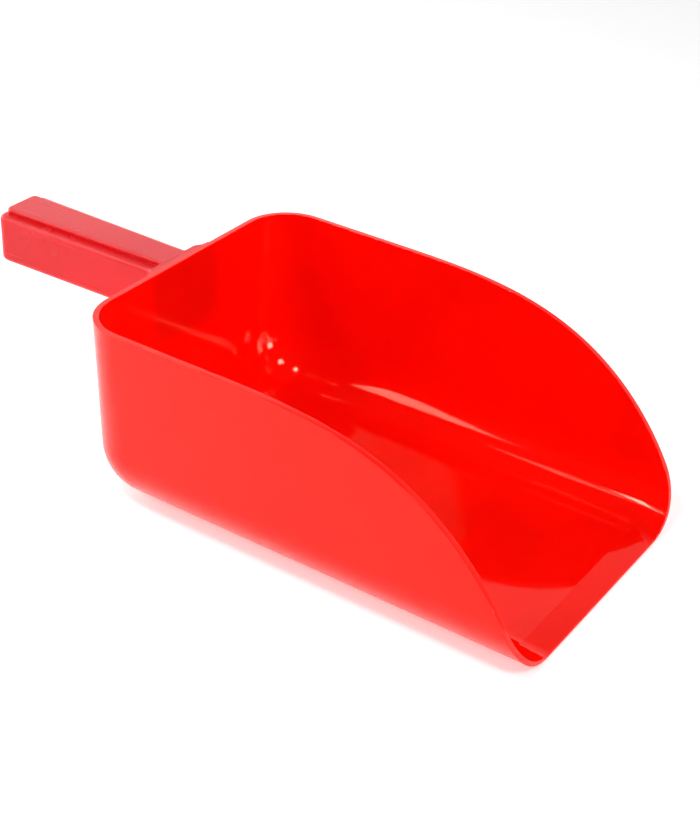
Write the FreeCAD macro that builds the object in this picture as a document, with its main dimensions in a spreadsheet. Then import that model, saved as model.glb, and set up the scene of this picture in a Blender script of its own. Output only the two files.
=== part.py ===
"""Feed scoop: an open moulded pan, a channel handle staked to its back wall and a cover strip.

The frame stands at the middle of the pan's underside: +X runs to the mouth, +Y to the left of
somebody who holds the handle and looks at the mouth, +Z up. All lengths are millimetres.
"""
import FreeCAD, Part
import math
import os
import Sketcher

# Every driving dimension: its alias, its value and what it measures.
DIMENSIONS = [
    ("pan_length", 230.5, "back wall to lip, along the floor"),
    ("pan_width", 150.0, "outside of the side walls, at floor level"),
    ("pan_height", 90.0, "underside to rim"),
    ("wall", 2.8, "wall and floor thickness of the pan"),
    ("draft", 0.012, "outward run of the walls for each mm of height"),
    ("corner_low", 27.2, "outside radius of the back corners, at floor level"),
    ("corner_rim", 24.0, "outside radius of the back corners, at the rim"),
    ("floor_radius", 26.5, "outside radius between floor and walls"),
    ("spare", 6.0, "extra height and length of the forms beyond the trimmed edges"),
    ("overcut", 1.0, "how far bores and pins run on past what they need"),
    ("rim_flat", 66.0, "level part of the rim, from the back wall"),
    ("rim_lead", 80.6, "how far the rim curve holds its level direction"),
    ("rim_shoulder", 124.0, "reach of the shoulder of the rim curve"),
    ("rim_drop", 20.0, "height where the rim curve turns straight down to the lip"),
    ("lip_bevel", 12.0, "length over which the floor thins towards the lip"),
    ("lip_edge", 1.2, "thickness of the lip"),
    ("rim_round", 0.3, "rounding of the edges round the rim and lip"),
    ("gate_back", 30.0, "middle of the pan to the moulding gate dimple under the floor"),
    ("gate_radius", 6.0, "radius of that dimple"),
    ("gate_depth", 0.5, "depth of that dimple"),
    ("handle_length", 102.8, "back wall to the end of the handle"),
    ("grip_base", 62.4, "height of the handle's underside"),
    ("strip_sink", 1.0, "top of the handle below the rim"),
    ("ledge_drop", 2.4, "top of the raised strip above the ledges beside it"),
    ("ledge_width", 5.2, "outside of the handle to the raised strip"),
    ("root_width", 27.0, "handle width at the pan"),
    ("end_width", 31.0, "handle width at the far end"),
    ("end_corner", 5.0, "plan radius of the handle's end corners"),
    ("base_round", 3.0, "rounding of the handle's lower edges"),
    ("edge_round", 2.2, "rounding of the handle's upper edges"),
    ("strip_round", 1.0, "rounding of the raised strip's edges"),
    ("handle_wall", 2.6, "wall thickness of the handle"),
    ("root_wall", 3.5, "thickness of the handle's wall against the pan"),
    ("flange_margin", 9.0, "how far the root flange stands out round the handle"),
    ("flange_thick", 1.6, "thickness of the root flange at its edge"),
    ("flange_corner", 6.0, "corner radius of the root flange"),
    ("flare_radius", 8.0, "hollow rounding between handle and flange"),
    ("ramp_radius", 5.0, "hollow rounding where the side walls rise to the root"),
    ("seat", 83.0, "height of the rib tops that carry the cover"),
    ("rib_width", 1.6, "how far a seat rib stands in from the wall"),
    ("rib_length", 2.0, "length of a seat rib along the handle"),
    ("rib_first", 10.0, "root wall to the first seat rib"),
    ("rib_spacing", 25.0, "distance between seat ribs"),
    ("stud_radius", 2.1, "studs that hold the handle to the pan"),
    ("stud_hole", 2.25, "radius of the stud holes"),
    ("head_radius", 3.5, "flattened stud heads"),
    ("head_thick", 1.6, "thickness of those heads"),
    ("stud_side", 5.5, "studs either side of the middle"),
    ("stud_low", 71.2, "height of the lower stud pair"),
    ("stud_high", 79.0, "height of the upper stud pair"),
    ("boss_radius", 4.0, "pillars that take the cover's pins"),
    ("boss_bore", 2.1, "radius of the bores in the pillars"),
    ("boss_first", 28.0, "back wall to the first pillar"),
    ("boss_spacing", 45.0, "distance between the pillars"),
    ("pin_radius", 2.0, "pins under the cover"),
    ("pin_reach", 10.0, "how far the pins go below the seat"),
    ("cover_gap", 0.15, "clearance round the cover"),
    ("cover_roof", 2.4, "roof thickness of the raised strip"),
    ("cover_side", 2.2, "side thickness of the raised strip"),
    ("strip_inset", 1.6, "end of the handle to the end of the strip"),
    ("strip_corner", 3.0, "plan radius of the strip's end corners"),
]

# Places that several sub-parts share, as formulas of the sheet's cells.
BACK = "-dimensions.pan_length / 2"
LIP = "dimensions.pan_length / 2"
FORM_TOP = "(dimensions.pan_height + dimensions.spare)"
BACK_AT_RIM = "(" + BACK + " - dimensions.draft * dimensions.pan_height)"
STRIP_TOP = "(dimensions.pan_height - dimensions.strip_sink)"
LEDGE = "(dimensions.pan_height - dimensions.strip_sink - dimensions.ledge_drop)"
HANDLE_END = "(" + BACK_AT_RIM + " - dimensions.handle_length)"
ROOT_INSIDE = "(" + BACK_AT_RIM + " - dimensions.root_wall)"
HANDLE_FLOOR = "(dimensions.grip_base + dimensions.handle_wall)"
ROOT_HALF = "dimensions.root_width / 2"
END_HALF = "dimensions.end_width / 2"

# Steps in the quarter round between floor and walls, seat ribs a side, and cover pillars.
ROUND_STEPS = 8
RIB_STATIONS = 4
PILLARS = 2

# Two places this close are the same place, and an edge this far from a face is clear of it.
TOUCH = 0.01
CLEAR = 1.0

doc = FreeCAD.newDocument("feed_scoop")
sheet = doc.addObject("Spreadsheet::Sheet", "dimensions")
for row, (alias, value, meaning) in enumerate(DIMENSIONS, start=1):
    sheet.set(f"A{row}", alias)
    sheet.set(f"B{row}", str(value))
    sheet.set(f"C{row}", meaning)
    sheet.setAlias(f"B{row}", alias)
doc.recompute()


def size(expression):
    """The present value of a formula of the sheet's cells."""
    return float(sheet.evalExpression(expression))


def new_body(name):
    body = doc.addObject("PartDesign::Body", name)
    body.Label = name
    return body


def new_sketch(body, name, role, offset=None):
    """An empty sketch on one of the body's own origin planes, moved along its normal."""
    sketch = body.newObject("Sketcher::SketchObject", name)
    plane = next(item for item in body.Origin.OriginFeatures if item.Role == role)
    sketch.AttachmentSupport = [(plane, "")]
    sketch.MapMode = "FlatFace"
    if offset is not None:
        sketch.setExpression("AttachmentOffset.Base.z", offset)
    return sketch


def bind(sketch, label, expression, kind, *where):
    """A dimension of the sketch that follows a formula of the sheet's cells."""
    index = sketch.addConstraint(Sketcher.Constraint(kind, *where, size(expression)))
    sketch.renameConstraint(index, label)
    sketch.setExpression("Constraints." + label, expression)


def bind_point(sketch, label, geometry, position, across, up):
    """Ties one point of the sketch to a place given by two formulas."""
    bind(sketch, label + "_across", across, "DistanceX", geometry, position)
    bind(sketch, label + "_up", up, "DistanceY", geometry, position)


def tangent_points(before, corner, after, radius):
    """Where an arc of this radius leaves the two sides of a corner, its centre, and its turn."""
    incoming = (corner - before).normalize()
    outgoing = (after - corner).normalize()
    turn = incoming.x * outgoing.y - incoming.y * outgoing.x
    half_angle = incoming.getAngle(outgoing) / 2
    setback = radius * math.tan(half_angle)
    start = corner - incoming * setback
    finish = corner + outgoing * setback
    side = FreeCAD.Vector(-incoming.y, incoming.x, 0) * math.copysign(1.0, turn)
    return start, finish, start + side * radius, turn


def draw_outline(sketch, label, corners):
    """Adds a closed outline. Each corner is (across, up) or (across, up, radius), as formulas.

    A construction point marks every sharp corner, the sides run through those points, and an
    arc that touches both sides rounds the corner where a radius is given.
    """
    places = [FreeCAD.Vector(size(corner[0]), size(corner[1]), 0) for corner in corners]
    count = len(corners)
    ends = []
    arcs = []
    for index, corner in enumerate(corners):
        if len(corner) == 2:
            ends.append((places[index], places[index]))
            arcs.append(None)
            continue
        start, finish, centre, turn = tangent_points(
            places[index - 1], places[index], places[(index + 1) % count], size(corner[2])
        )
        ends.append((start, finish))
        first, last = (start, finish) if turn > 0 else (finish, start)
        angles = [math.atan2(point.y - centre.y, point.x - centre.x) for point in (first, last)]
        circle = Part.Circle(centre, FreeCAD.Vector(0, 0, 1), size(corner[2]))
        arcs.append((Part.ArcOfCircle(circle, *angles), turn > 0))

    sides = []
    for index in range(count):
        following = (index + 1) % count
        sides.append(sketch.addGeometry(Part.LineSegment(ends[index][1], ends[following][0])))
    for index, corner in enumerate(corners):
        before, after = sides[index - 1], sides[index]
        name = f"{label}{index}"
        if arcs[index] is None:
            sketch.addConstraint(Sketcher.Constraint("Coincident", before, 2, after, 1))
            bind_point(sketch, name, after, 1, corner[0], corner[1])
            continue
        marker = sketch.addGeometry(Part.Point(places[index]), True)
        bind_point(sketch, name, marker, 1, corner[0], corner[1])
        sketch.addConstraint(Sketcher.Constraint("PointOnObject", marker, 1, before))
        sketch.addConstraint(Sketcher.Constraint("PointOnObject", marker, 1, after))
        curve, left_turn = arcs[index]
        arc = sketch.addGeometry(curve)
        near, far = (1, 2) if left_turn else (2, 1)
        sketch.addConstraint(Sketcher.Constraint("Tangent", before, 2, arc, near))
        sketch.addConstraint(Sketcher.Constraint("Tangent", arc, far, after, 1))
        bind(sketch, name + "_radius", corner[2], "Radius", arc)


def draw_circle(sketch, label, across, up, radius):
    centre = FreeCAD.Vector(size(across), size(up), 0)
    circle = sketch.addGeometry(Part.Circle(centre, FreeCAD.Vector(0, 0, 1), size(radius)))
    bind_point(sketch, label, circle, 3, across, up)
    bind(sketch, label + "_radius", radius, "Radius", circle)


def extrude(body, kind, name, sketch, length, side="One side", reverse=False):
    """A Pad or a Pocket of the given length."""
    feature = body.newObject("PartDesign::" + kind, name)
    feature.Profile = sketch
    feature.SideType = side
    feature.Reversed = reverse
    feature.AllowMultiFace = True
    feature.setExpression("Length", length)
    doc.recompute()
    return feature


def loft(body, name, sections, ruled=True):
    """A form through the sections, with straight sides or smooth ones."""
    feature = body.newObject("PartDesign::AdditiveLoft", name)
    feature.Profile = sections[0]
    feature.Sections = sections[1:]
    feature.Ruled = ruled
    doc.recompute()
    return feature


def edges_where(shape, test):
    """Names of the edges whose middle point passes the test."""
    names = []
    for index, edge in enumerate(shape.Edges, start=1):
        middle = edge.valueAt((edge.FirstParameter + edge.LastParameter) / 2)
        if test(middle):
            names.append(f"Edge{index}")
    return names


def fillet(body, name, radius, test):
    """Rounds the chosen edges of the body's latest feature."""
    base = body.Tip
    feature = body.newObject("PartDesign::Fillet", name)
    feature.Base = (base, edges_where(base.Shape, test))
    feature.setExpression("Radius", radius)
    doc.recompute()
    return feature


def at(value, expression):
    return abs(value - size(expression)) < TOUCH


# ---------------------------------------------------------------- pan

def pan_section(body, name, level, reach, corner, inset):
    """A horizontal section of the pan: square at the open front, rounded at the back.

    reach(half) is the distance from the middle to a wall that stands half away at floor level.
    """
    sketch = new_sketch(body, name, "XY_Plane", level)
    half = reach("dimensions.pan_width / 2")
    back = reach("dimensions.pan_length / 2")
    front = f"{LIP} + dimensions.spare + 2 * {inset}"
    draw_outline(sketch, "corner", [
        (front, f"-({half})"),
        (front, half),
        (f"-({back})", half, corner),
        (f"-({back})", f"-({half})", corner),
    ])
    return sketch


def pan_form(name, inset):
    """A solid block with the pan's outer shape (inset 0) or the shape of its hollow.

    Sections follow the quarter round between floor and walls up to where the straight walls
    begin, and one straight loft carries on from there.
    """
    body = new_body(name)
    radius = f"(dimensions.floor_radius - {inset})"
    wall_tilt = "sqrt(1 + dimensions.draft ^ 2)"
    sections = []
    for step in range(ROUND_STEPS + 1):
        angle = f"({step / ROUND_STEPS} * (90 deg - atan(dimensions.draft)))"
        level = f"({inset} + {radius} * (1 - cos({angle})))"
        rounding = (
            f"(dimensions.draft * dimensions.floor_radius - {radius} * {wall_tilt}"
            f" + {radius} * sin({angle}))"
        )
        corner = f"{corner_radius(level)} - {inset} + {rounding} - dimensions.draft * {level}"
        sections.append(pan_section(
            body, f"{name}_round{step}", level,
            lambda half: f"{half} - {inset} + {rounding}", corner, inset
        ))
    top = pan_section(
        body, name + "_top", FORM_TOP,
        lambda half: f"{half} - {inset} + dimensions.draft * {FORM_TOP}",
        f"dimensions.corner_rim - {inset}", inset
    )
    loft(body, name + "_round", sections, ruled=False)
    loft(body, name + "_walls", [sections[-1], top])
    return body


def corner_radius(level):
    """Outside radius of the back corners at a level: it narrows steadily towards the rim."""
    change = "(dimensions.corner_rim - dimensions.corner_low)"
    return f"dimensions.corner_low + {change} * {level} / {FORM_TOP}"


def bevel_section(body, name, beyond):
    """An upright section of the hollow near the lip, lowered in step with the bevel."""
    sketch = new_sketch(body, name, "YZ_Plane", f"{LIP} + {beyond}")
    slope = "(dimensions.wall - dimensions.lip_edge) / dimensions.lip_bevel"
    drop = f"(({beyond}) + dimensions.lip_bevel) * {slope}"
    floor = f"dimensions.wall - {drop}"
    radius = f"dimensions.floor_radius - dimensions.wall + {drop}"
    top = "dimensions.floor_radius * 2"
    half = "dimensions.pan_width / 2 - dimensions.wall + dimensions.draft * "
    draw_outline(sketch, "corner", [
        (f"-({half} ({floor}))", floor, radius),
        (f"{half} ({floor})", floor, radius),
        (f"{half} {top}", top),
        (f"-({half} {top})", top),
    ])
    return sketch


def lip_bevel_form():
    """What is taken from the top of the floor so that it thins towards the lip."""
    body = new_body("lip_bevel_form")
    start = bevel_section(body, "bevel_start", "-dimensions.lip_bevel")
    finish = bevel_section(body, "bevel_finish", "dimensions.spare")
    loft(body, "bevel_block", [start, finish])
    return body


def mouth_form():
    """Everything above the rim and beyond the lip: level at the back, then one falling curve."""
    body = new_body("mouth_form")
    sketch = new_sketch(body, "mouth_side", "XZ_Plane")
    rim = "dimensions.pan_height"
    start = f"{BACK} + dimensions.rim_flat"
    poles = [
        (start, rim),
        (f"{start} + dimensions.rim_lead", rim),
        (f"{start} + dimensions.rim_shoulder", rim),
        (LIP, "dimensions.rim_drop"),
        (LIP, "0"),
    ]
    behind = f"{BACK} - dimensions.spare * 2"
    above = f"{FORM_TOP} + dimensions.spare"
    below = "-dimensions.spare"
    ahead = f"{LIP} + dimensions.spare * 3"
    frame = [(behind, rim), (behind, above), (ahead, above), (ahead, below), (LIP, below)]

    places = [FreeCAD.Vector(size(across), size(up), 0) for across, up in poles]
    curve = Part.BezierCurve()
    curve.setPoles(places)
    rim_curve = sketch.addGeometry(curve.toBSpline())
    sketch.exposeInternalGeometry(rim_curve)
    for index, (across, up) in enumerate(poles):
        bind_point(sketch, f"pole{index}", rim_curve + 1 + index, 3, across, up)

    corners = [places[0]]
    corners += [FreeCAD.Vector(size(across), size(up), 0) for across, up in frame]
    corners.append(places[-1])
    sides = [
        sketch.addGeometry(Part.LineSegment(corners[index], corners[index + 1]))
        for index in range(len(corners) - 1)
    ]
    for index in range(len(sides) - 1):
        sketch.addConstraint(Sketcher.Constraint("Coincident", sides[index], 2, sides[index + 1], 1))
    for index, (across, up) in enumerate(frame):
        bind_point(sketch, f"frame{index}", sides[index], 2, across, up)
    sketch.addConstraint(Sketcher.Constraint("Coincident", rim_curve, 1, sides[0], 1))
    sketch.addConstraint(Sketcher.Constraint("Coincident", rim_curve, 2, sides[-1], 2))
    extrude(body, "Pad", "mouth_block", sketch, "dimensions.pan_width * 2", side="Symmetric")
    return body


def cut(name, base, tool):
    result = doc.addObject("Part::Cut", name)
    result.Base = base
    result.Tool = tool
    doc.recompute()
    return result


def rod_towards_handle(name, radius, start, length, across, up):
    """A round rod along -X."""
    rod = doc.addObject("Part::Cylinder", name)
    rod.Placement = FreeCAD.Placement(
        FreeCAD.Vector(0, 0, 0), FreeCAD.Rotation(FreeCAD.Vector(0, 1, 0), -90)
    )
    rod.setExpression("Placement.Base.x", start)
    rod.setExpression("Placement.Base.y", across)
    rod.setExpression("Placement.Base.z", up)
    rod.setExpression("Radius", radius)
    rod.setExpression("Height", length)
    return rod


def stud_places():
    """The four studs, as (name, across, up)."""
    places = []
    for level in ("low", "high"):
        for side, sign in (("right", "-"), ("left", "")):
            places.append((f"{level}_{side}", f"{sign}dimensions.stud_side", f"dimensions.stud_{level}"))
    return places


def middle_of(face):
    first_u, last_u, first_v, last_v = face.ParameterRange
    return (first_u + last_u) / 2, (first_v + last_v) / 2


def rim_edges(shape):
    """The edges round the pan's trimmed rim and lip, with the radius at both their ends."""
    def is_trimmed(face):
        normal = face.normalAt(*middle_of(face))
        on_top = face.BoundBox.ZMax > size("dimensions.pan_height") - TOUCH
        return on_top and abs(normal.y) < TOUCH and normal.z > 0.5

    trimmed = [face for face in shape.Faces if is_trimmed(face)]
    radius = size("dimensions.rim_round")
    chosen = []
    for index, edge in enumerate(shape.Edges, start=1):
        uses = sum(any(edge.isSame(other) for other in face.Edges) for face in trimmed)
        if uses == 1:
            chosen.append((index, radius, radius))
    return chosen


def build_pan():
    outer = pan_form("pan_outer_form", "0")
    core = pan_form("pan_core_form", "dimensions.wall")
    shell = cut("pan_hollowed", outer, core)
    shell = cut("pan_lip_thinned", shell, lip_bevel_form())
    shell = cut("pan_trimmed", shell, mouth_form())

    gate = doc.addObject("Part::Cylinder", "gate_dimple")
    gate.setExpression("Placement.Base.x", "-dimensions.gate_back")
    gate.setExpression("Radius", "dimensions.gate_radius")
    gate.setExpression("Height", "dimensions.gate_depth")
    shell = cut("pan_gated", shell, gate)

    rounded = doc.addObject("Part::Fillet", "pan_rim_rounded")
    rounded.Base = shell
    rounded.Edges = rim_edges(shell.Shape)
    doc.recompute()

    pieces = [rounded]
    for name, across, up in stud_places():
        pieces.append(rod_towards_handle(
            "stud_" + name, "dimensions.stud_radius",
            BACK, f"{BACK} - {ROOT_INSIDE}", across, up
        ))
        pieces.append(rod_towards_handle(
            "stud_head_" + name, "dimensions.head_radius",
            ROOT_INSIDE, "dimensions.head_thick", across, up
        ))
    pan = doc.addObject("Part::MultiFuse", "pan")
    pan.Shapes = pieces
    pan.Label = "pan"
    doc.recompute()
    return pan


# ------------------------------------------------------------- handle

def grip_outline(sketch, label, root, inset, end_inset, corner):
    """The handle's tapered plan, drawn in from its outside by the insets."""
    draw_outline(sketch, label, [
        (root, f"-({ROOT_HALF} - {inset})"),
        (root, f"{ROOT_HALF} - {inset}"),
        (f"{HANDLE_END} + {end_inset}", f"{END_HALF} - {inset}", corner),
        (f"{HANDLE_END} + {end_inset}", f"-({END_HALF} - {inset})", corner),
    ])


def cut_above_ledges(body, name):
    """Cuts down to the ledges beside the strip; the cut curves up to the root."""
    sketch = new_sketch(body, name + "_side", "XZ_Plane")
    beyond = f"{HANDLE_END} - dimensions.spare"
    above = f"{STRIP_TOP} + dimensions.spare"
    draw_outline(sketch, "corner", [
        (beyond, above),
        (beyond, LEDGE),
        (ROOT_INSIDE, LEDGE, "dimensions.ramp_radius"),
        (ROOT_INSIDE, above),
    ])
    return extrude(body, "Pocket", name, sketch, "dimensions.pan_width", side="Symmetric")


def build_handle():
    body = new_body("handle")
    inside_pan = f"({BACK} + dimensions.wall)"

    plan = new_sketch(body, "grip_plan", "XY_Plane", "dimensions.grip_base")
    grip_outline(plan, "grip", inside_pan, "0", "0", "dimensions.end_corner")
    extrude(body, "Pad", "grip", plan, f"{STRIP_TOP} - dimensions.grip_base")
    fillet(
        body, "grip_lower_edges", "dimensions.base_round",
        lambda middle: at(middle.z, "dimensions.grip_base") and middle.x < size(inside_pan) - CLEAR
    )

    flange = new_sketch(body, "flange_face", "YZ_Plane", inside_pan)
    wide = f"({ROOT_HALF} + dimensions.flange_margin)"
    low = "dimensions.grip_base - dimensions.flange_margin"
    draw_outline(flange, "flange", [
        (f"-{wide}", low, "dimensions.flange_corner"),
        (wide, low, "dimensions.flange_corner"),
        (wide, STRIP_TOP),
        (f"-{wide}", STRIP_TOP),
    ])
    flange_outside = f"({BACK_AT_RIM} - dimensions.flange_thick)"
    extrude(body, "Pad", "flange", flange, f"{inside_pan} - {flange_outside}", reverse=True)
    fillet(
        body, "flare", "dimensions.flare_radius",
        lambda middle: at(middle.x, flange_outside) and abs(middle.y) < size(ROOT_HALF) + CLEAR
        and size("dimensions.grip_base") - TOUCH < middle.z < size(STRIP_TOP) - TOUCH
    )

    wall_side = new_sketch(body, "root_side", "XZ_Plane")
    under = "dimensions.grip_base - dimensions.flange_margin * 2"
    over = f"{STRIP_TOP} + dimensions.spare"
    draw_outline(wall_side, "root", [
        (f"{BACK} - dimensions.draft * ({under})", under),
        (f"{BACK} + dimensions.floor_radius", under),
        (f"{BACK} + dimensions.floor_radius", over),
        (f"{BACK} - dimensions.draft * ({over})", over),
    ])
    extrude(body, "Pocket", "root_face", wall_side, "dimensions.pan_width", side="Symmetric")

    cut_above_ledges(body, "ledges")
    fillet(body, "upper_edges", "dimensions.edge_round", is_ledge_edge)

    hollow = new_sketch(body, "hollow_plan", "XY_Plane", f"{STRIP_TOP} + dimensions.spare")
    grip_outline(
        hollow, "hollow", ROOT_INSIDE, "dimensions.handle_wall", "dimensions.handle_wall",
        "dimensions.end_corner - dimensions.handle_wall"
    )
    extrude(body, "Pocket", "hollow", hollow, f"{STRIP_TOP} + dimensions.spare - {HANDLE_FLOOR}")

    ribs = new_sketch(body, "seat_rib_plan", "XY_Plane", HANDLE_FLOOR)
    for station in range(RIB_STATIONS):
        for side in (-1, 1):
            draw_rib(ribs, station, side)
    extrude(body, "Pad", "seat_ribs", ribs, f"dimensions.seat - {HANDLE_FLOOR}")

    pillars = new_sketch(body, "pillar_plan", "XY_Plane", HANDLE_FLOOR)
    bores = new_sketch(body, "bore_plan", "XY_Plane", "dimensions.seat")
    for index in range(PILLARS):
        place = pillar_place(index)
        draw_circle(pillars, f"pillar{index}", place, "0", "dimensions.boss_radius")
        draw_circle(bores, f"bore{index}", place, "0", "dimensions.boss_bore")
    extrude(body, "Pad", "pillars", pillars, f"dimensions.seat - {HANDLE_FLOOR}")
    extrude(body, "Pocket", "bores", bores, "dimensions.pin_reach + dimensions.overcut")

    holes = new_sketch(body, "stud_hole_face", "YZ_Plane", BACK)
    for name, across, up in stud_places():
        draw_circle(holes, name, across, up, "dimensions.stud_hole")
    extrude(body, "Pocket", "stud_holes", holes, f"{BACK} - {ROOT_INSIDE} + dimensions.overcut")
    return body


def is_ledge_edge(middle):
    """True on the outer upper edges of the handle's side walls and end."""
    past_ramp = size(ROOT_INSIDE + " - dimensions.ramp_radius") - CLEAR
    return at(middle.z, LEDGE) and middle.x < past_ramp


def draw_rib(sketch, station, side):
    """One seat rib, from inside the tapered wall to a little way into the hollow."""
    along = f"({ROOT_INSIDE} - dimensions.rib_first - dimensions.rib_spacing * {station})"
    taper = "((dimensions.end_width - dimensions.root_width) / 2 / dimensions.handle_length)"
    outside = f"({ROOT_HALF} + {taper} * ({BACK_AT_RIM} - {along}))"
    outer = f"({outside} - dimensions.handle_wall / 2)"
    inner = f"({outside} - dimensions.handle_wall - dimensions.rib_width)"
    corners = [
        (along, f"{side} * {outer}"),
        (f"{along} - dimensions.rib_length", f"{side} * {outer}"),
        (f"{along} - dimensions.rib_length", f"{side} * {inner}"),
        (along, f"{side} * {inner}"),
    ]
    draw_outline(sketch, f"rib{station}{'low' if side < 0 else 'high'}", corners)


def pillar_place(index):
    return f"{BACK_AT_RIM} - dimensions.boss_first - dimensions.boss_spacing * {index}"


# -------------------------------------------------------------- cover

def build_cover():
    body = new_body("handle_cover")
    root = f"({ROOT_INSIDE} - dimensions.cover_gap)"
    plate = new_sketch(body, "plate_plan", "XY_Plane", "dimensions.seat")
    inset = "(dimensions.handle_wall + dimensions.cover_gap)"
    grip_outline(
        plate, "plate", root, inset, inset, f"dimensions.end_corner - {inset}"
    )
    extrude(body, "Pad", "plate", plate, f"{STRIP_TOP} - dimensions.seat")
    cut_above_ledges(body, "plate_top")

    strip = new_sketch(body, "strip_plan", "XY_Plane", LEDGE)
    grip_outline(
        strip, "strip", root, "dimensions.ledge_width", "dimensions.strip_inset",
        "dimensions.strip_corner"
    )
    extrude(body, "Pad", "strip", strip, f"{STRIP_TOP} - {LEDGE}")
    fillet(
        body, "strip_edges", "dimensions.strip_round",
        lambda middle: at(middle.z, STRIP_TOP) and middle.x < size(root) - CLEAR
    )

    hollow = new_sketch(body, "underside_plan", "XY_Plane", "dimensions.seat")
    side = "(dimensions.ledge_width + dimensions.cover_side)"
    end = "(dimensions.strip_inset + dimensions.cover_side)"
    grip_outline(
        hollow, "underside", f"({root} - dimensions.cover_side)", side, end,
        "dimensions.strip_corner / 2"
    )
    depth = f"{STRIP_TOP} - dimensions.seat - dimensions.cover_roof"
    extrude(body, "Pocket", "underside", hollow, depth, reverse=True)

    pins = new_sketch(body, "pin_plan", "XY_Plane", "dimensions.seat - dimensions.pin_reach")
    for index in range(PILLARS):
        draw_circle(pins, f"pin{index}", pillar_place(index), "0", "dimensions.pin_radius")
    extrude(body, "Pad", "pins", pins, f"dimensions.pin_reach + {depth} + dimensions.overcut")
    return body


# -------------------------------------------------------------- write

def check(condition, message):
    if not condition:
        raise RuntimeError(message)


sub_parts = [build_pan(), build_handle(), build_cover()]
doc.recompute()
for item in doc.Objects:
    check(not {"Invalid", "Error"} & set(item.State), f"{item.Name} failed: {item.State}")
for item in sub_parts:
    check(not item.Shape.isNull() and item.Shape.isValid(), f"{item.Label} has no valid shape")
    check(len(item.Shape.Solids) == 1, f"{item.Label} is not one solid")
os.makedirs("parts", exist_ok=True)
for item in sub_parts:
    item.Shape.exportStep(f"parts/{item.Label}.step")
    box = item.Shape.optimalBoundingBox()
    print(item.Label, "volume", round(item.Shape.Volume), "box", box)
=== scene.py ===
import bpy
import math
from mathutils import Matrix, Vector


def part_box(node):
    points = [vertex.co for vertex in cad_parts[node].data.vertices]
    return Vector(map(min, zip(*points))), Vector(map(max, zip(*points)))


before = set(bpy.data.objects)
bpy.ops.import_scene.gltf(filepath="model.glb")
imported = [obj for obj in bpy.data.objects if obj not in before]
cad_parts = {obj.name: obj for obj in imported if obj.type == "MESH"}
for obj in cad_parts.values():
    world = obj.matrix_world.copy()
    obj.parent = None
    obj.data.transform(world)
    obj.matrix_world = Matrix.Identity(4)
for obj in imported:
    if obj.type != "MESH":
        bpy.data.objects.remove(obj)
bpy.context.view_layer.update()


# ------------------------------------------------------------- materials

# The patterns in the plastic: cells for each metre, and heights in metres.
CLOUD_SCALE = 16
POLISH_SCALE = 45
HAIRLINE_SCALE = 40
HAIRLINE_STRETCH = (0.35, 22, 22)
WAVE_SCALE = 22
WAVE_HEIGHT = 0.00012
GRAIN_SCALE = 700

# Share of the pigment in the deeper clouds, and how much rougher a hairline scratch is.
CLOUD_SHARE = 0.9
HAIRLINE_ROUGHNESS = 0.1

# How far red, green and blue light spread inside the plastic, as shares of the depth.
SOAK = (1.0, 0.15, 0.1)


class Surface:
    """A node material with short calls for the nodes that the materials share."""

    def __init__(self, name):
        self.material = bpy.data.materials.new(name)
        self.material.use_nodes = True
        self.nodes = self.material.node_tree.nodes
        self.links = self.material.node_tree.links
        self.shader = next(node for node in self.nodes if node.type == "BSDF_PRINCIPLED")
        self.place = self.nodes.new("ShaderNodeTexCoord").outputs["Object"]

    def stretch(self, scale):
        """The place on the object, stretched so that patterns follow one direction."""
        mapping = self.nodes.new("ShaderNodeMapping")
        mapping.inputs["Scale"].default_value = scale
        self.links.new(self.place, mapping.inputs["Vector"])
        return mapping.outputs["Vector"]

    def noise(self, scale, detail, place=None):
        """A cloudy value round 0.5, at the plain place unless another is given."""
        node = self.nodes.new("ShaderNodeTexNoise")
        node.inputs["Scale"].default_value = scale
        node.inputs["Detail"].default_value = detail
        self.links.new(place or self.place, node.inputs["Vector"])
        return node.outputs["Fac"]

    def spread(self, value, start, stop, low, high):
        """Maps start..stop to low..high and holds the ends."""
        node = self.nodes.new("ShaderNodeMapRange")
        node.inputs["From Min"].default_value = start
        node.inputs["From Max"].default_value = stop
        node.inputs["To Min"].default_value = low
        node.inputs["To Max"].default_value = high
        self.links.new(value, node.inputs["Value"])
        return node.outputs["Result"]

    def add(self, first, second):
        """The sum of two values."""
        node = self.nodes.new("ShaderNodeMath")
        node.operation = "ADD"
        self.links.new(first, node.inputs[0])
        self.links.new(second, node.inputs[1])
        return node.outputs["Value"]

    def mix(self, factor, first, second):
        """A blend of two colours: the first where the factor is 0, the second where it is 1."""
        node = self.nodes.new("ShaderNodeMix")
        node.data_type = "RGBA"
        self.links.new(factor, node.inputs["Factor"])
        node.inputs["A"].default_value = (*first, 1)
        node.inputs["B"].default_value = (*second, 1)
        return node.outputs["Result"]

    def bump(self, height, distance, under=None):
        """The surface direction over a relief, laid on another relief if one is given."""
        node = self.nodes.new("ShaderNodeBump")
        node.inputs["Strength"].default_value = 1.0
        node.inputs["Distance"].default_value = distance
        self.links.new(height, node.inputs["Height"])
        if under is not None:
            self.links.new(under, node.inputs["Normal"])
        return node.outputs["Normal"]


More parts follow.
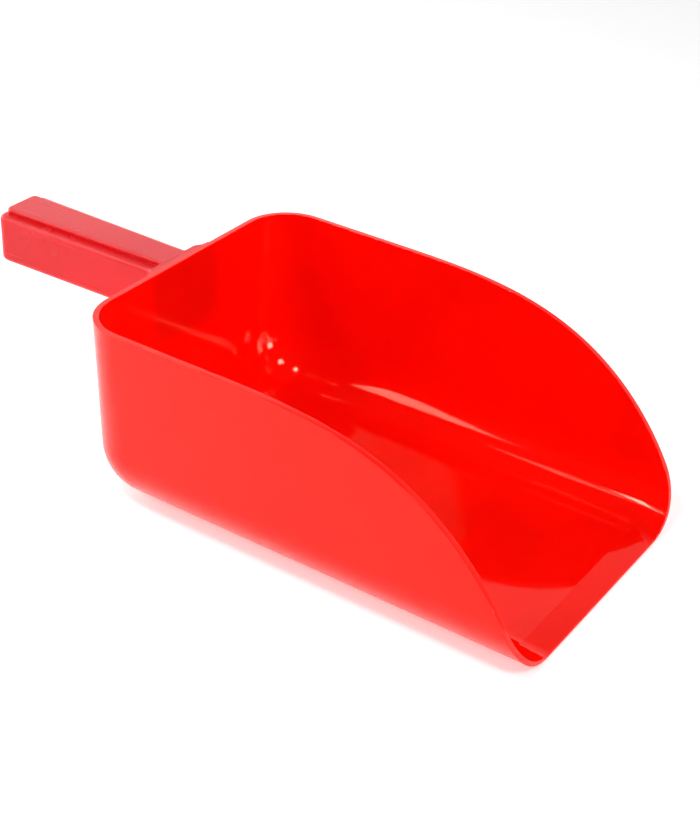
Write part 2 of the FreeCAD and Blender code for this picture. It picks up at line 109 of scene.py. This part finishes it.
def plastic(name, colour, gloss, refraction, tint, depth, grain):
    """Moulded plastic: cloudy pigment, uneven polish, slight waves, a fine grain and hairlines.

    gloss is the roughness of the polish, tint colours the reflections, depth is how far light
    soaks in, and grain is the height of the fine surface grain.
    """
    surface = Surface(name)
    shader, links = surface.shader, surface.links

    clouds = surface.spread(surface.noise(CLOUD_SCALE, 3), 0.35, 0.65, 0, 1)
    deeper = tuple(part * CLOUD_SHARE for part in colour)
    links.new(surface.mix(clouds, deeper, colour), shader.inputs["Base Color"])

    polish = surface.spread(surface.noise(POLISH_SCALE, 2), 0.3, 0.7, gloss * 0.8, gloss * 1.25)
    hairlines = surface.noise(HAIRLINE_SCALE, 1, surface.stretch(HAIRLINE_STRETCH))
    scratched = surface.spread(hairlines, 0.7, 0.76, 0, HAIRLINE_ROUGHNESS)
    links.new(surface.add(polish, scratched), shader.inputs["Roughness"])

    waves = surface.bump(surface.noise(WAVE_SCALE, 0), WAVE_HEIGHT)
    grained = surface.bump(surface.noise(GRAIN_SCALE, 2), grain, waves)
    links.new(grained, shader.inputs["Normal"])

    shader.inputs["IOR"].default_value = refraction
    shader.inputs["Specular Tint"].default_value = (*tint, 1)
    shader.inputs["Subsurface Weight"].default_value = 1.0
    shader.inputs["Subsurface Radius"].default_value = SOAK
    shader.inputs["Subsurface Scale"].default_value = depth
    return surface.material


pan_red = plastic(
    "pan_red",
    colour=(0.915, 0.003, 0.0006),
    gloss=0.06,
    refraction=1.42,
    tint=(1.0, 0.7, 0.5),
    depth=0.004,
    grain=0.000002,
)
handle_red = plastic(
    "handle_red",
    colour=(0.73, 0.005, 0.009),
    gloss=0.22,
    refraction=1.38,
    tint=(1.0, 0.92, 0.97),
    depth=0.001,
    grain=0.000008,
)
paint = {"pan": pan_red, "handle": handle_red, "handle_cover": handle_red}
for name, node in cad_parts.items():
    for slot in node.material_slots:
        slot.material = paint[name]


# ----------------------------------------------------------------- stage

# The floor is a white sheet just under the scoop, with a faint glow of its own.
FLOOR_REACH = 4.0
FLOOR_HEIGHT = -0.0002
FLOOR_WHITE = (0.85, 0.85, 0.85, 1)
FLOOR_GLOW = 0.37

floor_mesh = bpy.data.meshes.new("floor")
floor_mesh.from_pydata([
    (-FLOOR_REACH, -FLOOR_REACH, FLOOR_HEIGHT),
    (FLOOR_REACH, -FLOOR_REACH, FLOOR_HEIGHT),
    (FLOOR_REACH, FLOOR_REACH, FLOOR_HEIGHT),
    (-FLOOR_REACH, FLOOR_REACH, FLOOR_HEIGHT),
], [], [(0, 1, 2, 3)])
floor = bpy.data.objects.new("floor", floor_mesh)
bpy.context.scene.collection.objects.link(floor)
paper = Surface("floor_white")
paper.shader.inputs["Base Color"].default_value = FLOOR_WHITE
paper.shader.inputs["Roughness"].default_value = 0.9
paper.shader.inputs["Specular IOR Level"].default_value = 0.1
paper.shader.inputs["Emission Color"].default_value = (1, 1, 1, 1)
paper.shader.inputs["Emission Strength"].default_value = FLOOR_GLOW
floor_mesh.materials.append(paper.material)

# The studio is bright behind the scoop, fades upwards and is dim behind the camera.
BACKDROP_SIDE = (-0.54, 0.84, 0)
BACKDROP_EDGE = (0.0, 0.6)
BACKDROP_FADE = (0.3, 0.9)
BACKDROP_LIGHT = 1.6
ROOM_LIGHT = 0.05

world = bpy.data.worlds.new("studio")
bpy.context.scene.world = world
world.use_nodes = True
nodes = world.node_tree.nodes
links = world.node_tree.links


def fade(value, start, stop, low, high):
    """Maps start..stop softly to low..high and holds the ends."""
    node = nodes.new("ShaderNodeMapRange")
    node.interpolation_type = "SMOOTHSTEP"
    node.inputs["From Min"].default_value = start
    node.inputs["From Max"].default_value = stop
    node.inputs["To Min"].default_value = low
    node.inputs["To Max"].default_value = high
    links.new(value, node.inputs["Value"])
    return node.outputs["Result"]


direction = nodes.new("ShaderNodeTexCoord").outputs["Generated"]
away = nodes.new("ShaderNodeVectorMath")
away.operation = "DOT_PRODUCT"
away.inputs[1].default_value = BACKDROP_SIDE
links.new(direction, away.inputs[0])
split = nodes.new("ShaderNodeSeparateXYZ")
links.new(direction, split.inputs["Vector"])
backdrop = nodes.new("ShaderNodeMath")
backdrop.operation = "MULTIPLY_ADD"
links.new(fade(away.outputs["Value"], *BACKDROP_EDGE, 0.0, 1.0), backdrop.inputs[0])
links.new(fade(split.outputs["Z"], *BACKDROP_FADE, BACKDROP_LIGHT, 0.0), backdrop.inputs[1])
backdrop.inputs[2].default_value = ROOM_LIGHT
background = nodes["Background"]
background.inputs["Color"].default_value = (1, 1, 1, 1)
links.new(backdrop.outputs["Value"], background.inputs["Strength"])

LAMPS_ROUND = Vector((0, 0, 0.04))


def softbox(name, azimuth, elevation, distance, size, radiance):
    """A rectangular lamp that faces the scoop.

    azimuth and elevation are degrees, azimuth 0 is the near side and 90 the mouth; size is
    (width, height) in metres.
    """
    turn, lift = math.radians(azimuth), math.radians(elevation)
    towards = Vector((
        math.sin(turn) * math.cos(lift),
        -math.cos(turn) * math.cos(lift),
        math.sin(lift),
    ))
    light = bpy.data.lights.new(name, "AREA")
    light.shape = "RECTANGLE"
    light.size, light.size_y = size
    light.energy = radiance * math.pi * size[0] * size[1]
    lamp = bpy.data.objects.new(name, light)
    lamp.location = towards * distance + LAMPS_ROUND
    lamp.rotation_mode = "QUATERNION"
    lamp.rotation_quaternion = towards.to_track_quat("Z", "Y")
    bpy.context.scene.collection.objects.link(lamp)


# Two lamps light the near and handle sides, three draw the long highlight inside the pan, two
# make the spots in its far back corner, and a dim one fills from beyond the mouth.
softbox("left_panel", -70, 20, 1.25, (1.4, 0.95), 2.9)
softbox("edge_left", -76, 47, 1.2, (0.35, 0.25), 6)
softbox("near_left", -38, 35, 1.2, (0.24, 0.34), 7)
softbox("high_left", -45, 64, 1.2, (0.14, 0.14), 3)
softbox("high_near", -25, 64, 1.2, (0.15, 0.15), 30)
softbox("right_low", 79, 7, 1.2, (0.28, 0.28), 19)
softbox("right_high", 58, 54, 1.2, (0.28, 0.28), 21)
softbox("mouth_panel", 114, 28, 1.3, (0.7, 0.45), 1.0)


# ---------------------------------------------------------------- camera

AZIMUTH = math.radians(32.77)
ELEVATION = math.radians(32.12)
ROLL = math.radians(2.76)
DISTANCE = 0.7597
SENSOR = 36
LENS = 72.57
AIM_FROM_PAN_CENTRE = Vector((-0.0110, -0.0067, -0.0013))

pan_low, pan_high = (Vector(corner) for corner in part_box("pan"))
aim = (pan_low + pan_high) / 2 + AIM_FROM_PAN_CENTRE
back = Vector((
    math.sin(AZIMUTH) * math.cos(ELEVATION),
    -math.cos(AZIMUTH) * math.cos(ELEVATION),
    math.sin(ELEVATION),
))
camera_data = bpy.data.cameras.new("camera")
camera_data.sensor_width = SENSOR
camera_data.lens = LENS
camera = bpy.data.objects.new("camera", camera_data)
bpy.context.scene.collection.objects.link(camera)
camera.location = aim + back * DISTANCE
camera.rotation_mode = "QUATERNION"
level = back.to_track_quat("Z", "Y")
camera.rotation_quaternion = level @ Matrix.Rotation(ROLL, 3, "Z").to_quaternion()
bpy.context.scene.camera = camera
bpy.context.scene.view_settings.view_transform = "Standard"
